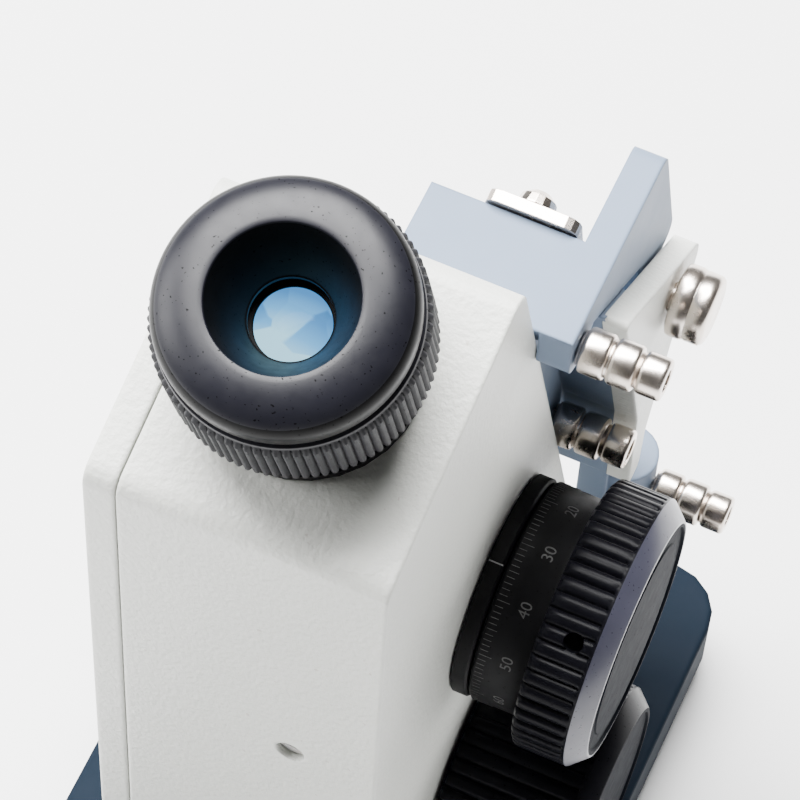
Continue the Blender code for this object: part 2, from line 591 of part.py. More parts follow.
def make_lower_box():
    drop = 0.4
    core = [(48.1, 168.2), (58.6, 168.2), (60.0, split_z(60.0) - drop), (76.5, split_z(76.5) - drop),
            (76.5, 90.0), (72.0, 90.0)]
    lower = side_plate("lower_prism_box", core, CORE_X, CREAM)
    web = [(58.4, split_z(58.4) - drop - 0.3), (70.8, split_z(70.8) - drop - 0.3), (77.4, 120),
           (77.4, 86.5), (76.6, 86.5), (75.2, 112)]
    join(lower, side_plate("web", web, (CORE_X[1] - 0.5, CHEEK_X[0] + 0.5)))
    cheek = [(58.0, split_z(58.0) - drop), (75.2, 112), (76.4, 86), (81.4, 86), (82.0, 97.4),
             (99.7, split_z(99.7) - drop)]
    join(lower, side_plate("cheek", rounded(cheek, [1, 6, 1, 2, 6, 5]), CHEEK_X))
    middle = (6, 65.0, split_z(65.0))
    pocket = block("lower_pocket", (-10.3, -8.3, -10.8), (8.3, 8.3, 3), None, middle, SPLIT_TURN)
    light_way = rod("light_way", (5, 62, 108), (0, 1, 0), 6.0, 9)
    pin_hole = rod("cheek_pin_hole", at(10, HINGE), (1, 0, 0), 2.8, 40)
    cut(lower, pocket, light_way, pin_hole)
    bevel(lower, 0.5, 1, 50)
    block("refracting_prism", (-10, -8, -10.4), (8, 8, -0.7), GLASS, middle, SPLIT_TURN)

    spindle = [(0, 7.2), (5.6, 7.2), (6.3, 6.6), (6.3, 4.2), (5.6, 3.8), (5.6, 3.4), (6.8, 3.0),
               (6.8, 0.5), (6.3, 0), (2.5, 0), (2.5, -12.5), (0, -12.5)]
    turned("hinge_spindle", spindle, at(CHEEK_X[1] + 0.9, HINGE), ALONG_X, NICKEL, 24)

    seat = rod("thermometer_seat", (SEAT_CENTRE[0], SEAT_CENTRE[1], 56), (0, 0, 1), SEAT_RADIUS, 25, SKY, 24)
    join(seat, block("seat_lug", (21.6, 78.0, 73), (CHEEK_X[0] - GAP, 86.0, 100)))

    lock = [(0, 9.0), (5.4, 9.0), (6.0, 8.4), (6.0, 1.6), (3.0, 1.2), (3.0, 0), (0, 0)]
    turned("lock_knob", lock, (CORE_X[0] - GAP, 66, 140), along((-1, 0, 0)), BLACK, 24)


def make_nozzles():
    bulge = []
    for start, radius in ((0.6, NOZZLE_RADIUS), (5.7, NOZZLE_RADIUS), (10.8, NOZZLE_RADIUS - 0.5)):
        bulge += [(radius - 0.9, start), (radius, start + 1.2), (radius, start + 3.4),
                  (radius - 0.9, start + 4.6)]
    profile = list(reversed([(NOZZLE_RADIUS - 1.0, 0)] + bulge)) + [(2.0, 0), (2.0, NOZZLE_LENGTH)]
    places = {"nozzle_upper_right": ((BOX_X[1] + GAP, 49.0, 173.5), 1),
              "nozzle_lower": ((CORE_X[1] + GAP, 70.4, 109.0), 1),
              "nozzle_lower_left": ((CORE_X[0] - GAP, 71.2, 112.0), -1),
              "nozzle_seat": ((SEAT_CENTRE[0] + SEAT_RADIUS + 0.1, SEAT_CENTRE[1], 72.5), 1)}
    for name, (start, way) in places.items():
        turned(name, profile, start, along((way, 0, 0)), NICKEL, 14, closed=True)


# ---- mirrors ------------------------------------------------------------------------
def make_mirrors():
    y, z = REFLECTOR
    bracket = block("reflector_bracket", (0, KNEE_Y + GAP, z - 4), (8, y + 3.0, z + 4), MATT)
    join(bracket, rod("reflector_pin", (-4, y, z), (1, 0, 0), 1.3, 16, None, 12))
    lean = Matrix.Rotation(math.radians(-45), 3, "X")
    frame = block("reflector_frame", (-7, -7, 6.5), (15, 11, 9.5), MATT, (0, y, z), lean)
    for side, (low_x, high_x) in enumerate(((-4.2, -0.5), (8.5, 12.2))):
        join(frame, block(f"reflector_ear_{side}", (low_x, -3, -3), (high_x, 3, 7.5), None, (0, y, z), lean))
    cut(frame, rod("reflector_bore", (-20, y, z), (1, 0, 0), 1.6, 50, None, 12))
    cut(frame, block("reflector_recess", (-5.5, -5.5, 8.0), (13.5, 9.5, 12), None, (0, y, z), lean))
    block("reflector_mirror", (-5.2, -5.2, 8.3), (13.2, 9.2, 9.4), MIRROR, (0, y, z), lean)

    lens = [(0, 2.4), (3.6, 1.9), (6.1, 0.4), (6.1, -3.0), (0, -3.0)]
    turned("condenser_lens", lens, at(COVER_X[0], LAMP), along((-1, 0, 0)), GLASS, 24)
    x, z = LIGHT_MIRROR
    low_y, high_y = LAMP[0] - 9, LAMP[0] + 9
    arm = block("light_mirror_bracket", (x - 3, low_y, z - 3), (COVER_X[0] - GAP, low_y + 3, z + 3), MATT)
    join(arm, block("far_arm", (x - 3, high_y - 3, z - 3), (COVER_X[0] - GAP, high_y, z + 3)))
    join(arm, block("arm_foot", (COVER_X[0] - GAP - 1.6, low_y, z - 3), (COVER_X[0] - GAP, high_y, z - 0.5)))
    join(arm, rod("arm_pin", (x, low_y + 0.5, z), (0, 1, 0), 1.2, 17, None, 12))
    lean = Matrix.Rotation(math.radians(-32), 3, "Y")
    frame = block("light_mirror_frame", (-1.8, -5.2, -2.2), (1.8, 5.2, 2.2), MATT, (x, LAMP[0], z), lean)
    join(frame, block("mirror_board", (-3.4, -8.6, 4.6), (-0.8, 8.6, 17.6), None, (x, LAMP[0], z), lean))
    join(frame, block("mirror_neck", (-3.0, -4, 1), (-0.9, 4, 5.2), None, (x, LAMP[0], z), lean))
    cut(frame, rod("mirror_bore", (x, 0, z), (0, 1, 0), 1.5, 80, None, 12))
    block("light_mirror_glass", (-0.5, -7.6, 5.4), (0.5, 7.6, 16.8), MIRROR, (x, LAMP[0], z), lean)


make_base()
make_housing()
make_eyepiece()
make_dispersion_knob()
make_adjusting_train()
make_upper_box()
make_lower_box()
make_nozzles()
make_mirrors()
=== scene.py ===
"""Looks of the bench refractometer: fine turned pieces, procedural materials, studio."""
import json
import math

import bmesh
import bpy
from mathutils import Matrix, Vector


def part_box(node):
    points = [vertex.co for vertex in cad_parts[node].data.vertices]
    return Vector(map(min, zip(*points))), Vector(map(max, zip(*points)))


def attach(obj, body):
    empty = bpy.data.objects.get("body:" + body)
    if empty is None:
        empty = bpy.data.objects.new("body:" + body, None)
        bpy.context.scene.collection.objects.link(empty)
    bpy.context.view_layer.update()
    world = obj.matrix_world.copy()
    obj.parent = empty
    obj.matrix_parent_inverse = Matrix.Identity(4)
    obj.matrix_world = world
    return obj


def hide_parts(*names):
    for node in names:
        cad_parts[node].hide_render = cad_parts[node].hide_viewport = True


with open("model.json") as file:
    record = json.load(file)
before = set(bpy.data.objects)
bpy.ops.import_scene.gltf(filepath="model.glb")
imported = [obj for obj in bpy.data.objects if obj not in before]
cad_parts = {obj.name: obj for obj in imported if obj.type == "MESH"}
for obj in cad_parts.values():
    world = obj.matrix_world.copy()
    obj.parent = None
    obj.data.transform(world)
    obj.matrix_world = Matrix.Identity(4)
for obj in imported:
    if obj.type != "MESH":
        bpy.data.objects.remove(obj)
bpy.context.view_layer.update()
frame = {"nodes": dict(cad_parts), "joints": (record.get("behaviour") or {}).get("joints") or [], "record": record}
nodes = frame["nodes"]
joints = {joint["name"]: joint for joint in frame["joints"]}
MM = 0.001
scene = bpy.context.scene

# Sizes that the turned pieces share, in millimetres.
RING_TEETH = 88                 # knurl of the dioptre ring
KNURL_RANGE = (12.3, 26.4)      # heights of the knurl above the sloped face
GRIP_RADIUS = 25.6
GRIP_FLUTES = 52
WHEEL_FLUTES = 48
SHOULDER = 3.0                  # bevel width at the end of both knobs
DRUM_RADIUS = 20.9
DRUM_TICKS = 120
NUMERALS = 12                   # numerals round the drum
SCALE_PHASE = 4.5               # degrees from the horizontal to the first tick
SHAFT_HOLE = 3.4
SET_SCREW_X = 6.4               # from the inner face of the grip
SET_SCREW_WAY = Vector((0, -0.61, 0.79)).normalized()
BLACK_DOT = (0, 0, 0)
WHITE_DOT = (1, 1, 1)

# The view: place in metres, looking and up directions, and the lens in millimetres.
CAMERA_PLACE = Vector((0.12937, -0.30292, 0.77519))
CAMERA_VIEW = Vector((-0.17948, 0.47288, -0.86265))
CAMERA_UP = Vector((-0.36810, 0.78091, 0.50466))
LENS_LENGTH = 190.9
SENSOR_WIDTH = 36


# ---- placing ------------------------------------------------------------------------
def along(direction):
    """A rotation that takes local +Z to a direction and keeps local +X as near +X as it can."""
    z_axis = Vector(direction).normalized()
    hint = Vector((1, 0, 0)) if abs(z_axis.x) < 0.9 else Vector((0, 1, 0))
    y_axis = z_axis.cross(hint).normalized()
    x_axis = y_axis.cross(z_axis)
    return Matrix((x_axis, y_axis, z_axis)).transposed()


def frame_at(origin, direction):
    matrix = along(direction).to_4x4()
    matrix.translation = Vector(origin)
    return matrix


EYE = Vector(joints["diopter_turn"]["pos_m"])
EYE_UP = Vector(joints["diopter_turn"]["axis"])
KNOB = Vector(joints["dispersion_turn"]["pos_m"])
WHEEL = Vector(joints["adjusting_turn"]["pos_m"])
HINGE = Vector(joints["prism_box_open"]["pos_m"])
X_WAY = Vector((1, 0, 0))
LOWER_BLUE_X = 27.2 * MM        # the lower box is blue up to here and its outer cheek is cream


def on_axis(centre, x):
    """The point of an X axis through a centre at a given x, in metres."""
    return Vector((x, centre.y, centre.z))


# ---- shader helpers -----------------------------------------------------------------
class Shader:
    """A node material with a Principled shader, object coordinates in metres and a rounded edge."""

    def __init__(self, name, colour, roughness, metallic=0.0, edge=0.0, gloss=0.5):
        self.material = bpy.data.materials.new(name)
        self.material.use_nodes = True
        self.tree = self.material.node_tree
        self.shader = self.tree.nodes["Principled BSDF"]
        self.shader.inputs["Base Color"].default_value = (*colour, 1)
        self.shader.inputs["Roughness"].default_value = roughness
        self.shader.inputs["Metallic"].default_value = metallic
        self.shader.inputs["Specular IOR Level"].default_value = gloss
        self.coordinates = self.tree.nodes.new("ShaderNodeTexCoord")
        self.normal = None
        if edge:
            rounding = self.tree.nodes.new("ShaderNodeBevel")
            rounding.samples = 6
            rounding.inputs["Radius"].default_value = edge * MM
            self.normal = rounding.outputs["Normal"]
            self.join(self.normal, self.shader.inputs["Normal"])

    def join(self, output, socket):
        self.tree.links.new(output, socket)

    def noise(self, size, detail=3.0, roughness=0.55, stretch=(1, 1, 1)):
        """Noise whose grain is about size millimetres."""
        mapping = self.tree.nodes.new("ShaderNodeMapping")
        mapping.inputs["Scale"].default_value = stretch
        self.join(self.coordinates.outputs["Object"], mapping.inputs["Vector"])
        texture = self.tree.nodes.new("ShaderNodeTexNoise")
        texture.inputs["Scale"].default_value = 1 / (size * MM)
        texture.inputs["Detail"].default_value = detail
        texture.inputs["Roughness"].default_value = roughness
        self.join(mapping.outputs["Vector"], texture.inputs["Vector"])
        return texture.outputs["Fac"]

    def ramp(self, value, stops):
        """A colour ramp; stops are (position, colour)."""
        node = self.tree.nodes.new("ShaderNodeValToRGB")
        while len(node.color_ramp.elements) < len(stops):
            node.color_ramp.elements.new(0.5)
        for element, (position, colour) in zip(node.color_ramp.elements, stops):
            element.position = position
            element.color = (*colour, 1)
        self.join(value, node.inputs["Fac"])
        return node.outputs["Color"]

    def blend(self, share, first, second):
        """Mix two colours by a share; each colour is a socket or a triple."""
        node = self.tree.nodes.new("ShaderNodeMix")
        node.data_type = "RGBA"
        for given, socket in ((first, node.inputs[6]), (second, node.inputs[7])):
            if isinstance(given, tuple):
                socket.default_value = (*given, 1)
            else:
                self.join(given, socket)
        self.join(share, node.inputs[0])
        return node.outputs[2]

    def span(self, value, low, high, start=0.0, end=1.0):
        """Map a value from one range to another."""
        node = self.tree.nodes.new("ShaderNodeMapRange")
        node.inputs["From Min"].default_value = start
        node.inputs["From Max"].default_value = end
        node.inputs["To Min"].default_value = low
        node.inputs["To Max"].default_value = high
        self.join(value, node.inputs["Value"])
        return node.outputs["Result"]

    def dots(self, size, detail, start, full):
        """Scattered specks: the peaks of a noise, white on black."""
        return self.ramp(self.noise(size, detail),
                         [(0.0, BLACK_DOT), (start, BLACK_DOT), (full, WHITE_DOT)])

    def colour(self, output):
        self.join(output, self.shader.inputs["Base Color"])

    def rough(self, output):
        self.join(output, self.shader.inputs["Roughness"])

    def bump(self, height, depth):
        """Raise the surface by depth millimetres where height is 1."""
        node = self.tree.nodes.new("ShaderNodeBump")
        node.inputs["Strength"].default_value = 1.0
        node.inputs["Distance"].default_value = depth * MM
        self.join(height, node.inputs["Height"])
        if self.normal:
            self.join(self.normal, node.inputs["Normal"])
        self.normal = node.outputs["Normal"]
        self.join(self.normal, self.shader.inputs["Normal"])


def paint(name, colour, grain, depth, roughness, edge, gloss=0.35, speck=None):
    """Sprayed enamel: slight cloudiness, a pebbled surface and, if asked, stray dark specks."""
    made = Shader(name, colour, roughness, edge=edge, gloss=gloss)
    darker = tuple(part * 0.93 for part in colour)
    cloud = made.blend(made.noise(28, 2), darker, colour)
    if speck:
        cloud = made.blend(made.dots(1.9, 1.0, 0.765, 0.79), cloud, speck)
    made.colour(cloud)
    made.rough(made.span(made.noise(6, 2), roughness - 0.06, roughness + 0.08))
    made.bump(made.noise(grain * 2.2, 1.0), depth * 0.6)
    made.bump(made.noise(grain, 2.0), depth)
    return made.material


def plastic(name, colour, roughness, speck, grain=0.5, depth=0.006, edge=0.25, gloss=0.3):
    """Moulded plastic with dust specks and a faint skin."""
    made = Shader(name, colour, roughness, edge=edge, gloss=gloss)
    lighter = tuple(min(1, part * 1.7 + 0.004) for part in colour)
    tone = made.blend(made.noise(9, 4), colour, lighter)
    dots = made.dots(0.55, 1.5, 0.68, 0.73)
    made.colour(made.blend(dots, tone, speck))
    made.join(made.span(dots, gloss, gloss * 0.15), made.shader.inputs["Specular IOR Level"])
    made.rough(made.span(made.noise(2.5, 3), roughness - 0.07, roughness + 0.10))
    made.bump(made.noise(grain, 2), depth)
    return made.material


def metal(name, colour, roughness, edge=0.2):
    """Bare or plated metal with fine tool marks and finger-dulled patches."""
    made = Shader(name, colour, roughness, 1.0, edge)
    warm = tuple(part * factor for part, factor in zip(colour, (0.90, 0.84, 0.78)))
    patches = made.ramp(made.noise(5, 4), [(0.35, BLACK_DOT), (0.75, WHITE_DOT)])
    made.colour(made.blend(patches, colour, warm))
    made.rough(made.span(made.noise(3, 5, 0.65), roughness - 0.07, roughness + 0.14))
    made.bump(made.noise(0.35, 1.0, stretch=(6, 0.25, 0.25)), 0.004)
    return made.material


def clear_glass(name, colour, roughness):
    """Polished optical glass with the faintest haze."""
    made = Shader(name, colour, roughness)
    made.shader.inputs["IOR"].default_value = 1.52
    made.shader.inputs["Transmission Weight"].default_value = 1.0
    made.rough(made.span(made.noise(4, 3), roughness, roughness + 0.03))
    return made.material


def coated_lens(name):
    """The eye lens: a painted glow stands in for the pale blue reflection of its coating, painted paler towards
    the user, with the facets below painted into the glow as cells.
    """
    made = Shader(name, (0.02, 0.04, 0.06), 0.06, gloss=0.02)
    cells = made.tree.nodes.new("ShaderNodeTexVoronoi")
    cells.feature = "SMOOTH_F1"
    cells.inputs["Scale"].default_value = 210
    cells.inputs["Smoothness"].default_value = 0.12
    cells.inputs["Randomness"].default_value = 0.9
    made.join(made.coordinates.outputs["Object"], cells.inputs["Vector"])
    shade = made.tree.nodes.new("ShaderNodeSeparateColor")
    made.join(cells.outputs["Color"], shade.inputs["Color"])
    place = made.tree.nodes.new("ShaderNodeSeparateXYZ")
    made.join(made.coordinates.outputs["Object"], place.inputs["Vector"])
    # painted highlight: the glow is made paler towards the user end of the lens
    painted_highlight_share = made.span(place.outputs["Y"], 0.95, 0.0, EYE.y - 11.5 * MM, EYE.y - 0.5 * MM)
    level = made.tree.nodes.new("ShaderNodeMath")
    level.operation = "MULTIPLY_ADD"
    level.inputs[1].default_value = 0.42
    made.join(shade.outputs["Red"], level.inputs[0])
    made.join(painted_highlight_share, level.inputs[2])
    painted_glow_colour = made.ramp(level.outputs["Value"], [(0.05, (0.035, 0.15, 0.36)), (0.35, (0.06, 0.24, 0.55)),
                                              (0.62, (0.12, 0.42, 0.80)), (0.95, (0.40, 0.80, 1.0))])
    made.colour(made.blend(made.noise(3, 2), (0.01, 0.02, 0.03), (0.02, 0.04, 0.06)))
    # painted glow: the lens emits this pale blue light though it is no lamp, standing in for its reflection
    made.join(painted_glow_colour, made.shader.inputs["Emission Color"])
    made.shader.inputs["Emission Strength"].default_value = 1.6
    return made.material


def silvered(name):
    """Front-silvered mirror with a slight haze."""
    made = Shader(name, (0.92, 0.93, 0.94), 0.03, 1.0)
    haze = made.noise(5, 4)
    made.rough(made.span(haze, 0.015, 0.08))
    made.colour(made.blend(haze, (0.93, 0.94, 0.95), (0.86, 0.88, 0.90)))
    return made.material


def ink(name, colour):
    """Filled engraving, a little worn."""
    made = Shader(name, colour, 0.6)
    worn = tuple(part * 0.45 for part in colour)
    made.colour(made.blend(made.noise(0.6, 3), worn, colour))
    return made.material


CREAM = paint("cream_enamel", (0.70, 0.71, 0.665), 1.0, 0.16, 0.4, 1.1, 0.45, (0.55, 0.53, 0.49))
SLATE = paint("slate_enamel", (0.0065, 0.0115, 0.0195), 0.6, 0.012, 0.6, 1.0, 0.04)
SKY = paint("pale_blue_enamel", (0.165, 0.215, 0.30), 0.6, 0.006, 0.5, 0.9, 0.2)
FACE = plastic("eyepiece_face", (0.003, 0.003, 0.0055), 0.36, (0.001, 0.001, 0.001),
               0.5, 0.003, gloss=0.28)
# painted shade: the face plastic made much darker and less glossy, used in the recess, on the rolled edge and
# inside the ring
PAINTED_SHADE_PLASTIC = plastic("eyepiece_painted_shade", (0.0003, 0.0003, 0.0004), 0.35, (0.0002, 0.0002, 0.0002),
                 gloss=0.1)
GROOVED = plastic("knurled_plastic", (0.008, 0.008, 0.010), 0.6, (0.006, 0.006, 0.006),
                  0.4, 0.02, 0.1, 0.2)
BLACK = plastic("knob_plastic", (0.002, 0.002, 0.0035), 0.3, (0.001, 0.001, 0.002), gloss=0.06)
# knob bevel: a glossier finish, and a lighter lilac-grey colour that is painted sheen standing in for the
# chamfer's reflection
BEVEL_PAINTED_SHEEN = plastic("knob_bevel", (0.030, 0.030, 0.046), 0.3, (0.02, 0.02, 0.03), 0.5, 0.002, 0.0, 0.6)
END = plastic("knob_end", (0.004, 0.005, 0.008), 0.6, (0.006, 0.006, 0.008), gloss=0.02)
MATT = plastic("black_anodising", (0.003, 0.003, 0.0035), 0.5, (0.006, 0.006, 0.006),
               0.3, 0.004, gloss=0.08)
NICKEL = metal("nickel_plate", (0.78, 0.71, 0.65), 0.22)
STEEL = metal("turned_steel", (0.60, 0.60, 0.61), 0.3)
BRASS = metal("turned_brass", (0.78, 0.58, 0.26), 0.28)
ALLOY = metal("turned_aluminium", (0.80, 0.81, 0.82), 0.36)
RUBBER = plastic("foot_rubber", (0.02, 0.02, 0.02), 0.8, (0.05, 0.05, 0.05), 0.8, 0.03)
GLASS = clear_glass("optical_glass", (0.95, 0.98, 1.0), 0.02)
LENS = coated_lens("eye_lens_painted_glow")
MIRROR = silvered("silvered_glass")
INK = ink("scale_ink", (0.055, 0.055, 0.055))
MARK = ink("index_ink", (0.30, 0.30, 0.30))

FINISH = {"cream_paint": CREAM, "slate_paint": SLATE, "pale_blue_paint": SKY, "black_plastic": BLACK,
          "black_anodised": MATT, "nickel": NICKEL, "steel": STEEL, "brass": BRASS, "aluminium": ALLOY,
          "rubber": RUBBER, "optical_glass": GLASS, "mirror": MIRROR}


# ---- mesh helpers -------------------------------------------------------------------
def mesh_piece(name, shape, matrix, finishes, body, replaced=(), crease=38):
    """Finish a bmesh drawn in millimetres as a named piece that rides on a body."""
    bmesh.ops.recalc_face_normals(shape, faces=shape.faces)
    mesh = bpy.data.meshes.new(name)
    shape.to_mesh(mesh)
    shape.free()
    mesh.transform(matrix @ Matrix.Scale(MM, 4))
    mesh.shade_smooth()
    mesh.set_sharp_from_angle(angle=math.radians(crease))
    for finish in finishes:
        mesh.materials.append(finish)
    piece = bpy.data.objects.new(name, mesh)
    scene.collection.objects.link(piece)
    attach(piece, body)
    if replaced:
        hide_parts(*replaced)
    return piece


def lathe(shape, profile, steps=96, ripple=None, index_of=None):
    """Turn (radius, height) points about local Z.

    A radius of 0 is a pole; otherwise the outline closes.
    """
    rings = []
    for radius, height in profile:
        if radius == 0:
            rings.append([shape.verts.new((0, 0, height))])
            continue
        row = []
        for step in range(steps):
            angle = 2 * math.pi * step / steps
            reach = radius + (ripple(angle, radius, height) if ripple else 0)
            row.append(shape.verts.new((reach * math.cos(angle), reach * math.sin(angle), height)))
        rings.append(row)
    pairs = list(zip(range(len(rings)), range(1, len(rings))))
    if len(rings[0]) > 1 and len(rings[-1]) > 1:
        pairs.append((len(rings) - 1, 0))
    for first, second in pairs:
        upper, lower = rings[first], rings[second]
        for step in range(steps):
            after = (step + 1) % steps
            if len(upper) == 1:
                corners = [upper[0], lower[step], lower[after]]
            elif len(lower) == 1:
                corners = [upper[step], upper[after], lower[0]]
            else:
                corners = [upper[step], upper[after], lower[after], lower[step]]
            face = shape.faces.new(corners)
            if index_of:
                face.material_index = index_of(first)


def turned(name, profile, origin, direction, finishes, body, replaced=(), steps=96,
           ripple=None, index_of=None, crease=38):
    """Turn a profile into a finished piece that stands at an origin along a direction."""
    shape = bmesh.new()
    lathe(shape, profile, steps, ripple, index_of)
    return mesh_piece(name, shape, frame_at(origin, direction), finishes, body, replaced, crease)


def arc(centre, radius, start, end, steps):
    """Points on a circle in the profile plane, from one angle to another in degrees."""
    points = []
    for step in range(steps + 1):
        angle = math.radians(start + (end - start) * step / steps)
        points.append((centre[0] + radius[0] * math.cos(angle), centre[1] + radius[1] * math.sin(angle)))
    return points


# ---- carried-over solids ------------------------------------------------------------
def dress_cad_nodes():
    """Give each carried-over solid the finish of its slot and smooth its round faces."""
    slots = {entry["node"]: entry["material_slot"] for entry in frame["record"]["subparts"]}
    for name, node in nodes.items():
        node.data.materials.clear()
        node.data.materials.append(FINISH[slots[name]])
        node.data.shade_smooth()
        node.data.set_sharp_from_angle(angle=math.radians(32))
    lower = nodes["lower_prism_box"].data
    lower.materials.append(SKY)
    for face in lower.polygons:
        if face.center.x < LOWER_BLUE_X:
            face.material_index = 1


# ---- eyepiece -----------------------------------------------------------------------
def make_eyepiece():
    knurl_low, knurl_high = KNURL_RANGE

    def ripple(angle, radius, height):
        if radius < 21.4 or not knurl_low - 0.3 < height < knurl_high + 0.3:
            return 0
        wave = (angle * RING_TEETH / (2 * math.pi)) % 1
        return -0.75 * abs(2 * wave - 1) ** 2.6

    face = [(6.75, 24.9), (6.95, 25.0), (7.1, 25.35), (12.0, 35.95), (12.15, 36.2), (12.45, 36.3)]
    dome = arc((12.6, 31.4), (8.25, 4.9), 86, 0, 18)
    skirt = [(20.85, 30.0), (20.75, 28.9), (20.5, 28.6), (20.1, 28.5), (20.05, 28.0), (20.6, 27.7),
             (21.0, 27.5), (21.15, 27.2), (21.2, 26.9)]
    knurl = [(21.5, knurl_high + 0.2)] + [(22.0, knurl_high - 0.5 - index * 2.25) for index in range(7)]
    knurl += [(21.5, knurl_low - 0.1), (21.0, 11.6)]
    inside = [(18.75, 11.6), (18.75, 23.3), (8.4, 23.3), (7.2, 23.4), (6.75, 23.9)]
    profile = face + dome + skirt + knurl + inside
    lip = len(face + dome)
    first_knurl = lip + len(skirt) - 2
    last_knurl = lip + len(skirt + knurl)

    def index_of(row):
        """Painted shade: a darker, less glossy copy of the face plastic in the recess, on the rolled edge and
        inside; knurl between its rows.
        """
        if row < 3 or row >= last_knurl or lip - 7 <= row < lip + 1:
            return 2
        return 1 if first_knurl <= row else 0

    turned("knurled_diopter_ring", profile, EYE, EYE_UP, [FACE, GROOVED, PAINTED_SHADE_PLASTIC], "diopter",
           ["diopter_ring"], RING_TEETH * 6, ripple, index_of, 30)
    lens = arc((0, 14.8), (9.9, 6.4), 90, 42, 10)
    lens[0] = (0, lens[0][1])
    turned("coated_eye_lens_piece", lens + [(9.9, 18.6), (9.9, 16.6), (0, 16.6)], EYE, EYE_UP, [LENS],
           "eyepiece_lenses", ["eye_lens"], 72)
    stop = [(9.6, 21.7), (9.6, 21.1), (6.35, 20.9), (6.2, 21.1), (6.2, 21.5), (6.5, 21.7)]
    turned("lens_stop", stop, EYE, EYE_UP, [MATT], "eyepiece_lenses", (), 72)


# ---- knobs --------------------------------------------------------------------------
def fluting(count, depth, low, high, least):
    """Broad rounded ridges with narrow valleys between two heights."""
    def ripple(angle, radius, height):
        if radius < least or not low < height < high:
            return 0
        wave = (angle * count / (2 * math.pi)) % 1
        return -depth * abs(2 * wave - 1) ** 3.2
    return ripple


def banded(first, last):
    """Material 1 on the bevel rows and material 2 on the end face beyond them."""
    def index_of(row):
        if row < first - 1:
            return 0
        return 1 if row < last - 1 else 2
    return index_of


def drill(piece, start, direction, radius, length):
    """Cut a round hole, in millimetres across and long, into a finished piece."""
    shape = bmesh.new()
    lathe(shape, [(0, 0), (radius, 0), (radius, length), (0, length)], 32)
    bmesh.ops.recalc_face_normals(shape, faces=shape.faces)
    mesh = bpy.data.meshes.new("drill")
    shape.to_mesh(mesh)
    shape.free()
    mesh.transform(frame_at(start, direction) @ Matrix.Scale(MM, 4))
    bit = bpy.data.objects.new("drill", mesh)
    scene.collection.objects.link(bit)
    step = piece.modifiers.new("drill", "BOOLEAN")
    step.operation = "DIFFERENCE"
    step.solver = "EXACT"
    step.object = bit
    bpy.context.view_layer.update()
    bored = bpy.data.meshes.new_from_object(piece.evaluated_get(bpy.context.evaluated_depsgraph_get()))
    piece.modifiers.clear()
    piece.data = bored
    bored.set_sharp_from_angle(angle=math.radians(32))
    bpy.data.objects.remove(bit)


def knob_side(radius, shoulder):
    """The side of a knob from its inner face to the bevel, with a smooth lip past the flutes."""
    side = [(radius - 1.0, 0), (radius - 0.25, 0.5), (radius, 1.3)]
    side += [(radius, 1.3 + (shoulder - 2.3) * index / 6) for index in range(1, 7)]
    return side + [(radius - 0.1, shoulder - 0.7), (radius, shoulder - 0.3)]


def knob_bevel(radius, shoulder, length):
    return [(radius - 0.15, shoulder), (radius - 2.7, length - 0.3), (radius - 3.0, length - 0.05)]


def make_dispersion_grip():
    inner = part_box("dispersion_grip")[0].x
    length = (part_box("dispersion_grip")[1].x - inner) / MM
    radius = GRIP_RADIUS
    shoulder = length - SHOULDER
    bore = [(0, 9.0), (SHAFT_HOLE, 9.0), (SHAFT_HOLE, 0)]
    barrel = knob_side(radius, shoulder)
    bevelled = knob_bevel(radius, shoulder, length) + [(radius - 3.4, length)]
    end = [(radius - 4.1, length), (radius - 4.3, length - 0.5), (radius - 7.2, length - 0.5),
           (radius - 7.4, length - 0.2), (0, length - 0.2)]
    # the bevel rows take the plastic with painted sheen, the end face the matt plastic
    grip = turned("fluted_dispersion_grip", bore + barrel + bevelled + end, on_axis(KNOB, inner), X_WAY,
                  [BLACK, BEVEL_PAINTED_SHEEN, END], "dispersion_knob", ["dispersion_grip"],
                  GRIP_FLUTES * 10, fluting(GRIP_FLUTES, 0.85, 0.4, shoulder - 0.9, radius - 0.3),
                  banded(len(bore + barrel), len(bore + barrel + bevelled)), 32)
    hole = on_axis(KNOB, inner + SET_SCREW_X * MM) + SET_SCREW_WAY * 3.0 * MM
    drill(grip, hole, SET_SCREW_WAY, 1.8, 26)


def make_adjusting_wheel():
    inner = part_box("adjusting_wheel")[0].x
    length = (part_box("adjusting_wheel")[1].x - inner) / MM
    radius = (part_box("adjusting_wheel")[1].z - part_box("adjusting_wheel")[0].z) / 2 / MM
    shoulder = length - SHOULDER
    bore = [(0, 18.3), (SHAFT_HOLE, 18.3), (SHAFT_HOLE, 2.6), (8.6, 2.6), (8.6, 0)]
    barrel = knob_side(radius, shoulder)
    bevelled = knob_bevel(radius, shoulder, length)
    end = [(radius - 3.8, length), (radius - 4.0, length - 0.5), (0, length - 0.5)]
    turned("fluted_adjusting_wheel", bore + barrel + bevelled + end, on_axis(WHEEL, inner), X_WAY,
           [BLACK, BLACK, END], "adjusting_knob", ["adjusting_wheel"],
           WHEEL_FLUTES * 10, fluting(WHEEL_FLUTES, 0.8, 0.4, shoulder - 0.9, radius - 0.3),
           banded(len(bore + barrel), len(bore + barrel + bevelled)), 32)


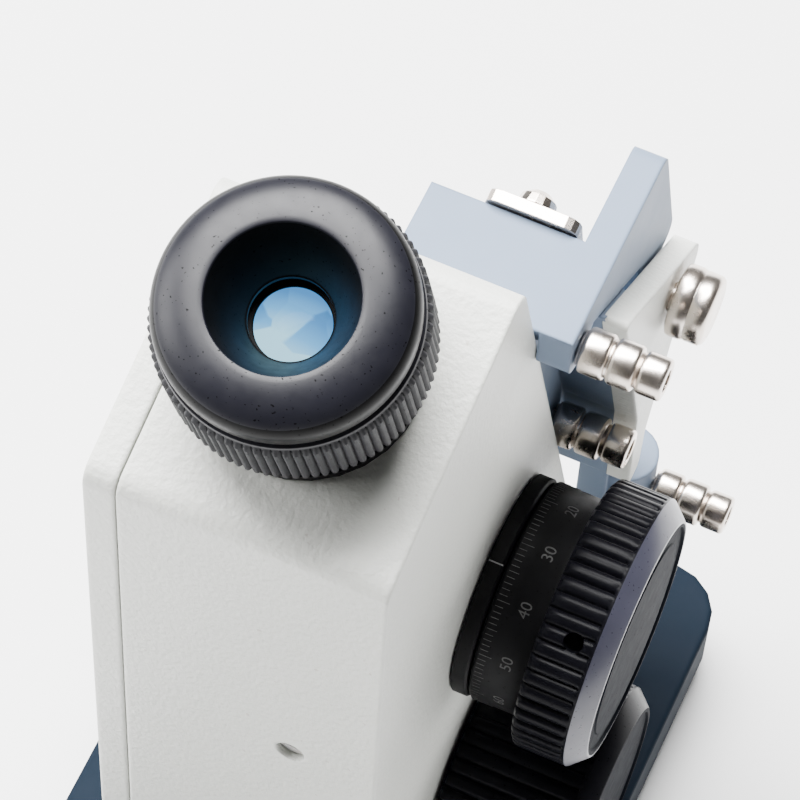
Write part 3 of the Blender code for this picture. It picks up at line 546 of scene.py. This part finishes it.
def make_drum():
    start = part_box("index_ring")[0].x
    width = (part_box("index_ring")[1].x - start) / MM
    fixed = [(9, 0), (20.6, 0), (DRUM_RADIUS, 0.3), (DRUM_RADIUS, width - 0.4), (20.5, width), (9, width)]
    turned("smooth_index_ring", fixed, on_axis(KNOB, start), X_WAY, [MATT], "stand",
           ["index_ring"])
    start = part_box("graduated_ring")[0].x
    width = (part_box("graduated_ring")[1].x - start) / MM
    drum = [(SHAFT_HOLE, 0), (20.4, 0), (DRUM_RADIUS, 0.5), (DRUM_RADIUS, 4.1), (20.75, 4.3),
            (20.75, width - 1.2), (20.3, width - 0.6), (20.3, width), (SHAFT_HOLE, width)]
    turned("smooth_graduated_drum", drum, on_axis(KNOB, start), X_WAY, [MATT], "dispersion_knob",
           ["graduated_ring"])
    make_scale(start, DRUM_RADIUS)


def cylinder_patch(shape, radius, low, high, start, end, thick=0.05):
    """A thin raised patch on a drum, between two heights and two angles in degrees."""
    corners = []
    for reach in (radius - 0.05, radius + thick):
        for angle, height in ((start, low), (end, low), (end, high), (start, high)):
            turn = math.radians(angle)
            corners.append(shape.verts.new((reach * math.cos(turn), reach * math.sin(turn), height)))
    for quad in ((0, 1, 2, 3), (7, 6, 5, 4), (0, 4, 5, 1), (1, 5, 6, 2), (2, 6, 7, 3), (3, 7, 4, 0)):
        shape.faces.new([corners[index] for index in quad])


def make_scale(start, radius):
    """Ticks and numerals of the turning drum, and the mark on the fixed ring beside it."""
    shape = bmesh.new()
    for step in range(DRUM_TICKS):
        tall = 2.4 if step % 10 == 0 else 1.9 if step % 5 == 0 else 1.5
        angle = SCALE_PHASE + step * 360 / DRUM_TICKS
        cylinder_patch(shape, radius, 0.7, 0.7 + tall, angle - 0.17, angle + 0.17)
    mesh_piece("drum_graduations", shape, frame_at(on_axis(KNOB, start), X_WAY), [INK], "dispersion_knob")
    index = bmesh.new()
    ring_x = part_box("index_ring")[0].x
    cylinder_patch(index, radius, 0.3, 3.0, 108.2, 108.9)
    mesh_piece("index_mark", index, frame_at(on_axis(KNOB, ring_x), X_WAY), [MARK], "stand")
    for step in range(NUMERALS):
        value = 10 * min(step, NUMERALS - step)
        make_numeral(str(value), SCALE_PHASE + step * 360 / NUMERALS, start, radius - 0.15)


def make_numeral(text, angle, start, radius):
    """A raised numeral wrapped round the drum, its foot towards the grip."""
    curve = bpy.data.curves.new("numeral", "FONT")
    curve.body = text
    curve.size = 3.0
    curve.align_x = "CENTER"
    curve.extrude = 0.05
    drawn = bpy.data.objects.new("numeral", curve)
    scene.collection.objects.link(drawn)
    bpy.context.view_layer.update()
    mesh = bpy.data.meshes.new_from_object(drawn.evaluated_get(bpy.context.evaluated_depsgraph_get()))
    bpy.data.objects.remove(drawn)
    shape = bmesh.new()
    shape.from_mesh(mesh)
    bmesh.ops.remove_doubles(shape, verts=shape.verts, dist=0.0001)
    for vertex in shape.verts:
        across, up, out = vertex.co
        turn = math.radians(angle) - across / radius
        reach = radius + out
        vertex.co = (reach * math.cos(turn), reach * math.sin(turn), 6.9 - up)
    mesh_piece(f"drum_numeral_{int(angle)}", shape, frame_at(on_axis(KNOB, start), X_WAY), [INK],
               "dispersion_knob")


# ---- nickel fittings ----------------------------------------------------------------
def make_nozzles():
    places = {"nozzle_upper_right": ("upper_box", 1), "nozzle_lower_left": ("stand", -1),
              "nozzle_lower": ("stand", 1), "nozzle_seat": ("stand", 1)}
    profile = [(2.0, 0), (3.1, 0), (3.2, 0.4)]
    for start, radius in ((0.4, 4.1), (5.5, 4.1), (10.6, 3.75)):
        profile += [(radius - 0.7, start + 0.1), (radius - 0.25, start + 0.3),
                    (radius - 0.05, start + 0.65),
                    (radius, start + 1.0), (radius, start + 4.0), (radius - 0.05, start + 4.4),
                    (radius - 0.3, start + 4.7), (radius - 0.7, start + 4.8)]
    profile += [(2.3, 15.4), (2.0, 15.3)]
    for name, (body, way) in places.items():
        low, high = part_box(name)
        centre = (low + high) / 2
        root = Vector((low.x if way > 0 else high.x, centre.y, centre.z))
        turned("smooth_" + name, profile, root, (way, 0, 0), [NICKEL], body, [name], 64)


def make_small_fittings():
    root = Vector((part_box("hinge_spindle")[1].x - 7.2 * MM, HINGE.y, HINGE.z))
    spindle = [(0, 7.2), (5.4, 7.2), (6.1, 7.0), (6.55, 6.4), (6.6, 5.6), (6.6, 3.9), (6.45, 3.6),
               (6.6, 3.3),
               (6.8, 2.8), (6.8, 0.9), (6.6, 0.3), (6.0, 0), (2.5, 0), (2.5, -12.5), (0, -12.5)]
    turned("smooth_hinge_spindle", spindle, root, X_WAY, [NICKEL], "stand",
           ["hinge_spindle"], 72)

    low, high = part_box("lock_knob")
    root = Vector((high.x, (low.y + high.y) / 2, (low.z + high.z) / 2))
    lock = [(0, 9.0), (5.0, 9.0), (5.7, 8.8), (6.0, 8.2), (6.0, 1.8), (5.6, 1.4), (3.0, 1.2),
            (3.0, 0), (0, 0)]
    turned("knurled_lock_knob", lock, root, -X_WAY, [BLACK], "prism_lock",
           ["lock_knob"], 240, fluting(30, 0.35, 1.7, 8.3, 5.9), None, 32)

    for name in ("front_left", "front_right", "back_left", "back_right"):
        low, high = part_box("rubber_foot_" + name)
        root = Vector(((low.x + high.x) / 2, (low.y + high.y) / 2, low.z))
        foot = [(0, 5.7), (8.5, 5.7), (8.9, 5.2), (9.0, 1.4), (8.7, 0.5), (8.0, 0), (0, 0)]
        turned("smooth_foot_" + name, foot, root, (0, 0, 1), [RUBBER], "stand",
               ["rubber_foot_" + name], 64)

    low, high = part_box("condenser_lens")
    root = Vector((high.x, (low.y + high.y) / 2, (low.z + high.z) / 2))
    lens = [(0, 5.4)] + arc((0, 0.4), (6.1, 5.0), 80, 18, 10) + [(6.1, 1.8), (6.1, 0), (0, 0)]
    turned("smooth_condenser_lens", lens, root, -X_WAY, [GLASS], "stand",
           ["condenser_lens"], 64)


# ---- stage, light and camera --------------------------------------------------------
def make_stage():
    mesh = bpy.data.meshes.new("floor")
    shape = bmesh.new()
    bmesh.ops.create_grid(shape, x_segments=1, y_segments=1, size=3.0)
    shape.to_mesh(mesh)
    shape.free()
    floor = bpy.data.objects.new("floor", mesh)
    scene.collection.objects.link(floor)
    pale = Shader("floor_white", (0.93, 0.93, 0.93), 0.9)
    pale.colour(pale.blend(pale.noise(300, 2), (0.92, 0.92, 0.92), (0.94, 0.94, 0.94)))
    mesh.materials.append(pale.material)

    world = bpy.data.worlds.new("studio")
    scene.world = world
    world.use_nodes = True
    world.node_tree.nodes["Background"].inputs["Color"].default_value = (1.0, 1.0, 1.0, 1)
    world.node_tree.nodes["Background"].inputs["Strength"].default_value = 0.1


def area_light(name, place, target, size, power):
    lamp = bpy.data.lights.new(name, "AREA")
    lamp.shape = "RECTANGLE"
    lamp.size, lamp.size_y = size
    lamp.energy = power
    light = bpy.data.objects.new(name, lamp)
    light.location = place
    aim = Vector(target) - Vector(place)
    light.rotation_euler = aim.to_track_quat("-Z", "Y").to_euler()
    scene.collection.objects.link(light)


def make_camera():
    back = -CAMERA_VIEW.normalized()
    right = CAMERA_UP.cross(back).normalized()
    up = back.cross(right)
    matrix = Matrix((right, up, back)).transposed().to_4x4()
    matrix.translation = CAMERA_PLACE
    lens = bpy.data.cameras.new("camera")
    lens.sensor_width = SENSOR_WIDTH
    lens.lens = LENS_LENGTH
    camera = bpy.data.objects.new("camera", lens)
    camera.matrix_world = matrix
    scene.collection.objects.link(camera)
    scene.camera = camera


make_camera()
make_stage()
area_light("overhead", (-0.38, 0.42, 1.35), (0, 0.02, 0.12), (1.3, 1.0), 135)
area_light("left_fill", (-1.3, -0.3, 0.8), (0, 0, 0.15), (0.9, 0.9), 32)
dress_cad_nodes()
make_eyepiece()
make_dispersion_grip()
make_adjusting_wheel()
make_drum()
make_nozzles()
make_small_fittings()
